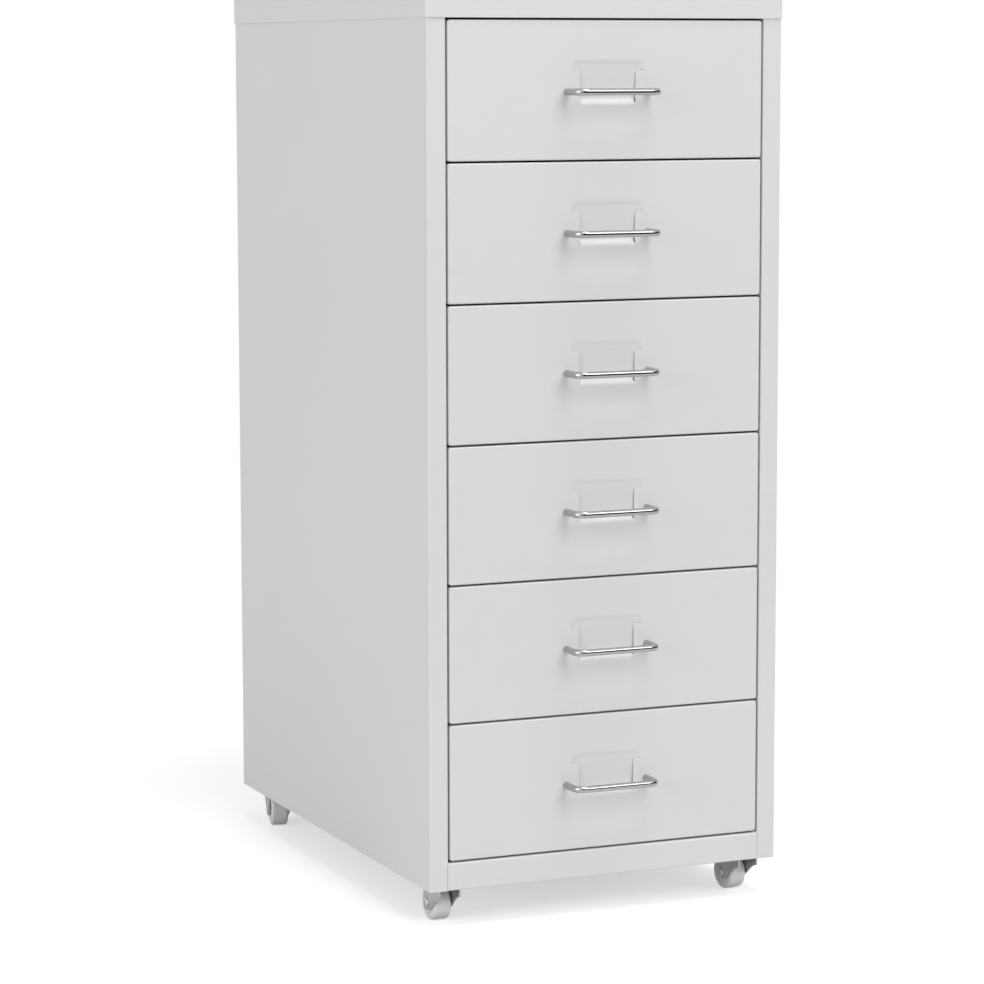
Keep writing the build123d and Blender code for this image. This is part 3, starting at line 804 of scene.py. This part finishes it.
def solid_boxes(node):
    """Low and high corner of the box round each separate solid of a node."""
    shape = bmesh.new()
    shape.from_mesh(frame["nodes"][node].data)
    bmesh.ops.remove_doubles(shape, verts=shape.verts, dist=WELD)
    left, found = set(shape.verts), []
    while left:
        seed = left.pop()
        group, queue = [seed], [seed]
        while queue:
            for edge in queue.pop().link_edges:
                for vert in edge.verts:
                    if vert in left:
                        left.remove(vert)
                        group.append(vert)
                        queue.append(vert)
        low = Vector([min(v.co[k] for v in group) for k in range(3)])
        high = Vector([max(v.co[k] for v in group) for k in range(3)])
        found.append((low, high))
    shape.free()
    return sorted(found, key=lambda pair: tuple(round(c, 5) for c in (pair[0] + pair[1])))


def behind(height):
    """Finds where a head of this height, on the rear of a piece, meets its sheet."""
    return lambda low, high: ((low.x + high.x) / 2, high.y - height, (low.z + high.z) / 2)


def below(height):
    """Finds where a head of this height, under a piece, meets its sheet."""
    return lambda low, high: ((low.x + high.x) / 2, (low.y + high.y) / 2, low.z + height)


def screw_row(name, node, body, shape, turn, seat, seed, spread=1.5):
    """Screws at the places of a node's solids, their recesses turned by up to the spread."""
    points = [seat(low, high) for low, high in solid_boxes(node)]
    made = line_of_points(points, name)
    run_tree(made, row_tree(), {
        "Piece": shape, "Turn": turn, "Drive spread": spread, "Seed": seed,
        "Finish": zinc_plate()})
    dress(made, body, zinc_plate(), "zinc", node)


class CABINET_OT_screws(bpy.types.Operator):
    """Places the screws and the castor rivets"""
    bl_idname = "cabinet.screws"
    bl_label = "Screws and rivets"

    def execute(self, context):
        screws = context.scene.cabinet_fasteners
        shape = screw_shape(screws.head, screws.height, screws.shank, screws.reach, True)
        back = (math.radians(-90), 0.0, 0.0)
        down = (math.radians(180), 0.0, 0.0)
        screw_row("casing_screw_heads", "casing_screws", "cabinet", shape, back,
                  behind(screws.height), 4)
        screw_row("castor_screw_heads", "castor_screws", "cabinet", shape, down,
                  below(screws.height), 9)
        bpy.data.objects.remove(shape)

        head, height, shank, reach = 6.0 * MM, 2.0 * MM, 3.0 * MM, 8.8 * MM
        small = screw_shape(head, height, shank, reach, True)
        for number in DRAWERS:
            screw_row(f"drawer_{number}_pull_screws", f"drawer_{number}_handle_screws",
                      f"drawer_{number}", small, back, behind(height), 20 + number)
        bpy.data.objects.remove(small)

        low, high = solid_boxes("castor_kingpins")[0]
        height, shank = 1.1 * MM, 5.0 * MM
        rivet = screw_shape(high.x - low.x, height, shank, high.z - low.z - height, False)
        screw_row("castor_rivets", "castor_kingpins", "cabinet", rivet, down, below(height), 3,
                  spread=0.0)
        bpy.data.objects.remove(rivet)
        return {"FINISHED"}


# ------------------------------------------------------------------ castors
def rolling_matrix(castor):
    """From a wheel's own frame, turning round Z, to where it stands."""
    joint = JOINTS[f"castor_{castor}_roll"]
    turn = Vector((0, 0, 1)).rotation_difference(Vector(joint["axis"])).to_matrix().to_4x4()
    return Matrix.Translation(Vector(joint["pos_m"])) @ turn


def curve_point(pulls, way):
    """A point on the smooth curve of four pulls, from 0 at the first to 1 at the last."""
    rest = 1.0 - way
    return (pulls[0] * rest ** 3 + pulls[1] * 3 * rest ** 2 * way
            + pulls[2] * 3 * rest * way ** 2 + pulls[3] * way ** 3)


class CABINET_OT_wheels(bpy.types.Operator):
    """Turns the moulded castor wheels"""
    bl_idname = "cabinet.wheels"
    bl_label = "Wheels"

    def execute(self, context):
        castors = context.scene.cabinet_castors
        half = (WHEEL_HIGH.x - WHEEL_LOW.x) / 2
        radius = (WHEEL_HIGH.z - WHEEL_LOW.z) / 2
        edge, dish, hub = castors.edge, castors.dish, castors.hub / 2
        rim, bore = radius - 2 * edge, 2.05 * MM
        ease, step, slope = 0.25 * MM, 0.3 * MM, 0.5 * MM
        one_side = [(bore, half - ease), (bore + ease, half), (hub - ease, half),
                    (hub, half - ease), (hub + step, half - dish), (rim - slope, half - dish),
                    (rim, half - step), (rim + step, half)]
        one_side += [(radius - edge + x, half - edge + z)
                     for x, z in arc((0.0, 0.0), edge, 90, 8, 6)]
        sunk, seam_half, flash_half = 0.02 * MM, 0.30 * MM, 0.12 * MM
        profile = one_side + [(radius - sunk, seam_half), (radius, flash_half)]
        profile += [(r, -z) for r, z in reversed(profile)]
        for castor in CASTORS:
            node = f"castor_{castor}_wheel"
            shape = bmesh.new()
            rings = circles(profile, castors.turns, rolling_matrix(castor))
            loft(shape, rings + [rings[0]])
            bmesh.ops.remove_doubles(shape, verts=shape.verts, dist=0.001 * MM)
            bmesh.ops.recalc_face_normals(shape, faces=shape.faces)
            made = smoothed(put(to_mesh(shape, f"{node}_moulded"), f"{node}_moulded"), 35.0)
            dress(made, f"wheel_{castor}", pale_nylon(), "wheel_nylon", node)
        return {"FINISHED"}


class CABINET_OT_forks(bpy.types.Operator):
    """Dresses the pressed forks, their plates and their axles"""
    bl_idname = "cabinet.forks"
    bl_label = "Forks, plates and axles"

    def execute(self, context):
        castors = context.scene.cabinet_castors
        for castor in CASTORS:
            for part, body in (("fork", f"castor_{castor}"), ("plate", "cabinet")):
                node = f"castor_{castor}_{part}"
                made = welded(node, f"{node}_pressed")
                if part == "fork":
                    self.horns(made.data, castor, castors)
                dress(smoothed(made), body, pressed_steel(), "castor_steel", node)
            self.axle(castor)
        return {"FINISHED"}

    def horns(self, mesh, castor, castors):
        """Draws both cheeks forwards, and fills them out from the front corner to the foot."""
        swivel = Vector(JOINTS[f"castor_{castor}_swivel"]["pos_m"])
        axle = rolling_matrix(castor).translation
        trail = Vector((axle.x - swivel.x, axle.y - swivel.y))
        back, middle = trail.normalized().to_3d(), trail.length
        spots = [((v.co - swivel).dot(back), v.co.z) for v in mesh.vertices]
        front = min(x for x, z in spots)
        corner = min(x - z for x, z in spots if z < ARCH_TOP)
        corner_z, toe_z = swivel.z - castors.horn_corner, axle.z - FOOT_RADIUS
        curve = [Vector((front - castors.horn_reach, corner_z)),
                 Vector((middle - 15.5 * MM, corner_z - 1.0 * MM)),
                 Vector((middle - 12.0 * MM, toe_z + 0.8 * MM)), Vector((middle, toe_z))]
        for vert, (x, z) in zip(mesh.vertices, spots):
            if x > middle or math.hypot(x - middle, z - axle.z) < FOOT_RADIUS * 0.6:
                continue
            if z > ARCH_TOP:
                pulled = max((middle - FOOT_RADIUS - x) / (middle - FOOT_RADIUS - front), 0.0)
                vert.co -= back * castors.horn_reach * pulled ** 2
                continue
            way = (x - z - corner) / (middle - toe_z - corner)
            at = curve_point(curve, way)
            vert.co += back * (at.x - x)
            vert.co.z = at.y

    def axle(self, castor):
        """Rivet through fork and wheel, domed on both sides."""
        node = f"castor_{castor}_axle"
        joint = rolling_matrix(castor)
        ends = [(joint.inverted() @ v.co).z for v in frame["nodes"][node].data.vertices]
        half, head, rise, pin = max(ends), 4.0 * MM, 1.1 * MM, 2.0 * MM
        one = [(0.01 * MM, half), (head * 0.42, half - 0.05 * MM), (head * 0.74, half - 0.25 * MM),
               (head * 0.93, half - 0.55 * MM), (head, half - 0.85 * MM), (head, half - rise),
               (pin, half - rise)]
        shape = turned(one + [(r, -z) for r, z in reversed(one)], 40, joint)
        made = smoothed(put(to_mesh(shape, f"{node}_riveted"), f"{node}_riveted"))
        dress(made, f"castor_{castor}", zinc_plate(), "zinc", node)


# ------------------------------------------------------------------ stage
# Each light with its size, its place and the point that it looks at.
LIGHTS = (
    ("key", (3.2, 2.6), (1.6, -4.5, 3.4), (0, -0.1, 0.3)),
    ("top", (1.8, 1.4), (0.3, -1.2, 3.6), (0, -0.1, 0.3)),
    ("fill", (2.6, 2.4), (-4.2, -1.4, 1.5), (0, 0, 0.3)),
)

# The photograph's camera, fitted to the sizes of the front: its picture's width and focal
# length in pixels, its place, and its turn to the right, down and about its own axis.
PHOTO_WIDTH = 984
FOCAL_LENGTH = 3387.7
CAMERA_PLACE = (-1.0326, -2.3912, 0.6184)
CAMERA_TURN = (23.2138, 7.2163, -0.1034)
SENSOR_WIDTH = 36.0


def area_light(name, power, size, place, target):
    """A large soft light that looks at a point."""
    data = bpy.data.lights.new(name, "AREA")
    data.shape = "RECTANGLE"
    data.size, data.size_y = size
    data.energy = power
    made = bpy.data.objects.new(name, data)
    bpy.context.scene.collection.objects.link(made)
    away = Vector(place) - Vector(target)
    turn = away.to_track_quat("Z", "Y").to_matrix().to_4x4()
    made.matrix_world = Matrix.Translation(place) @ turn
    return made


def seen_directly(nodes, link):
    """A light path node, and a node that is 1 for the camera and for bright metal."""
    seen, either = nodes.new("ShaderNodeLightPath"), maths(nodes, "MAXIMUM")
    link(seen.outputs["Is Camera Ray"], either.inputs[0])
    link(seen.outputs["Is Glossy Ray"], either.inputs[1])
    return seen, either


class CABINET_OT_stage(bpy.types.Operator):
    """Sets the floor, the white backdrop, the lights and the camera"""
    bl_idname = "cabinet.stage"
    bl_label = "Stage"

    def execute(self, context):
        settings = context.scene.cabinet_stage
        self.floor(context)
        self.sky(context, settings.sky)
        for name, size, place, target in LIGHTS:
            area_light(f"{name}_light", getattr(settings, name), size, place, target)
        self.flags()
        self.camera(context)
        context.scene.view_settings.view_transform = "Standard"
        return {"FINISHED"}

    def floor(self, context):
        """Wide pale floor that keeps the shadow, and turns white away from the cabinet."""
        tone, lift, mirror_lift, white_from, white_to = 0.72, 0.52, 0.2, 0.55, 1.2
        shape = bmesh.new()
        loft(shape, circles([(radius, 0.0) for radius in (0.5, 2.0, 6.0, 14.0)], 64),
             closed_start=True)
        bmesh.ops.recalc_face_normals(shape, faces=shape.faces)
        for face in shape.faces:
            if face.normal.z < 0:
                face.normal_flip()
        made = put(to_mesh(shape, "floor"), "floor")
        pale = bpy.data.materials.new("pale_floor")
        pale.use_nodes = True
        nodes, link = pale.node_tree.nodes, pale.node_tree.links.new
        shader = nodes["Principled BSDF"]
        shader.inputs["Base Color"].default_value = (tone, tone, tone, 1.0)
        shader.inputs["Roughness"].default_value = 0.9
        shader.inputs["Specular IOR Level"].default_value = 0.1
        shader.inputs["Emission Color"].default_value = (1.0, 1.0, 1.0, 1.0)
        seen, either = seen_directly(nodes, link)
        mirrored = maths(nodes, "MULTIPLY", {1: mirror_lift})
        lifted = maths(nodes, "MULTIPLY_ADD", {1: lift})
        link(seen.outputs["Is Glossy Ray"], mirrored.inputs[0])
        link(seen.outputs["Is Camera Ray"], lifted.inputs[0])
        link(mirrored.outputs["Value"], lifted.inputs[2])
        link(lifted.outputs["Value"], shader.inputs["Emission Strength"])
        place = nodes.new("ShaderNodeTexCoord")
        away = nodes.new("ShaderNodeVectorMath")
        away.operation = "LENGTH"
        fade = nodes.new("ShaderNodeMapRange")
        fade.interpolation_type = "SMOOTHSTEP"
        fade.inputs["From Min"].default_value = white_from
        fade.inputs["From Max"].default_value = white_to
        white = nodes.new("ShaderNodeEmission")
        whiter = maths(nodes, "MULTIPLY")
        blend = nodes.new("ShaderNodeMixShader")
        link(place.outputs["Object"], away.inputs[0])
        link(away.outputs["Value"], fade.inputs["Value"])
        link(fade.outputs["Result"], whiter.inputs[0])
        link(either.outputs["Value"], whiter.inputs[1])
        link(whiter.outputs["Value"], blend.inputs["Fac"])
        link(shader.outputs["BSDF"], blend.inputs[1])
        link(white.outputs["Emission"], blend.inputs[2])
        link(blend.outputs["Shader"], nodes["Material Output"].inputs["Surface"])
        made.data.materials.append(pale)

    def sky(self, context, strength):
        """Even light from all round, and white to the camera and to bright metal."""
        world = bpy.data.worlds.new("studio")
        context.scene.world = world
        world.use_nodes = True
        nodes, link = world.node_tree.nodes, world.node_tree.links.new
        backdrop = nodes["Background"]
        either = seen_directly(nodes, link)[1]
        mixed = nodes.new("ShaderNodeMix")
        mixed.data_type = "FLOAT"
        mixed.inputs["A"].default_value = strength
        mixed.inputs["B"].default_value = 1.0
        link(either.outputs["Value"], mixed.inputs["Factor"])
        link(mixed.outputs["Result"], backdrop.inputs["Strength"])
        backdrop.inputs["Color"].default_value = (1.0, 1.0, 1.0, 1.0)

    def flags(self):
        """Dark cards in front, seen in reflections alone: they draw the core line of a pull."""
        low, high, left, right = 0.02, 2.1, -1.8, 3.4
        far, near, side_end, wall_tone, floor_tone = -3.4, -1.0, 0.5, 0.04, 0.07
        for name, tone, corners in (
            ("flag_wall", wall_tone, [(left, far, low), (right, far, low), (right, far, high),
                                      (left, far, high)]),
            ("flag_side", wall_tone, [(right, far, low), (right, side_end, low),
                                      (right, side_end, high), (right, far, high)]),
            ("flag_floor", floor_tone, [(left, far, low), (right, far, low),
                                        (right, near, low), (left, near, low)]),
        ):
            mesh = bpy.data.meshes.new(name)
            mesh.from_pydata(corners, [], [(0, 1, 2, 3)])
            made = put(mesh, name)
            card = bpy.data.materials.new(name)
            card.use_nodes = True
            shader = card.node_tree.nodes["Principled BSDF"]
            shader.inputs["Base Color"].default_value = (0.0, 0.0, 0.0, 1.0)
            shader.inputs["Specular IOR Level"].default_value = 0.0
            shader.inputs["Emission Color"].default_value = (tone, tone, tone, 1.0)
            shader.inputs["Emission Strength"].default_value = 1.0
            mesh.materials.append(card)
            for ray in ("camera", "diffuse", "shadow", "transmission", "volume_scatter"):
                setattr(made, f"visible_{ray}", False)

    def camera(self, context):
        """Camera at the photograph's place, square picture."""
        data = bpy.data.cameras.new("camera")
        data.sensor_width = SENSOR_WIDTH
        data.sensor_fit = "HORIZONTAL"
        data.lens = FOCAL_LENGTH / PHOTO_WIDTH * SENSOR_WIDTH
        data.clip_start, data.clip_end = 0.1, 50.0
        yaw, pitch, roll = (math.radians(a) for a in CAMERA_TURN)
        ahead = Vector((math.sin(yaw) * math.cos(pitch), math.cos(yaw) * math.cos(pitch),
                        -math.sin(pitch)))
        right = Vector((math.cos(yaw), -math.sin(yaw), 0.0))
        above = right.cross(ahead)
        side = right * math.cos(roll) + above * math.sin(roll)
        up = above * math.cos(roll) - right * math.sin(roll)
        turn = Matrix((side, up, -ahead)).transposed().to_4x4()
        made = bpy.data.objects.new("camera", data)
        context.scene.collection.objects.link(made)
        made.matrix_world = Matrix.Translation(CAMERA_PLACE) @ turn
        context.scene.camera = made


# ------------------------------------------------------------------ add-on
SETTINGS = (
    ("cabinet_paint", CabinetPaint), ("cabinet_front", CabinetFront),
    ("cabinet_pull", CabinetPull), ("cabinet_fasteners", CabinetFasteners),
    ("cabinet_castors", CabinetCastors), ("cabinet_stage", CabinetStage),
)
STEPS = (
    CABINET_OT_casing, CABINET_OT_runners, CABINET_OT_trays, CABINET_OT_fronts,
    CABINET_OT_pulls, CABINET_OT_screws, CABINET_OT_forks, CABINET_OT_wheels,
    CABINET_OT_stage,
)


class CABINET_PT_panel(bpy.types.Panel):
    """Sizes, colours and steps of the cabinet"""
    bl_idname = "CABINET_PT_panel"
    bl_label = "Drawer cabinet"
    bl_space_type = "VIEW_3D"
    bl_region_type = "UI"
    bl_category = "Cabinet"

    def draw(self, context):
        for name, group in SETTINGS:
            box = self.layout.box()
            box.label(text=group.__doc__)
            for setting in group.__annotations__:
                box.prop(getattr(context.scene, name), setting)
        for step in STEPS:
            self.layout.operator(step.bl_idname)


def register():
    """Registers the settings, the steps and the panel."""
    for name, group in SETTINGS:
        bpy.utils.register_class(group)
        setattr(bpy.types.Scene, name, PointerProperty(type=group))
    for step in STEPS:
        bpy.utils.register_class(step)
    bpy.utils.register_class(CABINET_PT_panel)


def unregister():
    """Takes them away again."""
    bpy.utils.unregister_class(CABINET_PT_panel)
    for step in reversed(STEPS):
        bpy.utils.unregister_class(step)
    for name, group in reversed(SETTINGS):
        delattr(bpy.types.Scene, name)
        bpy.utils.unregister_class(group)


def main():
    """Runs every step in order."""
    register()
    for step in STEPS:
        area, name = step.bl_idname.split(".")
        getattr(getattr(bpy.ops, area), name)()


if __name__ == "__main__":
    main()
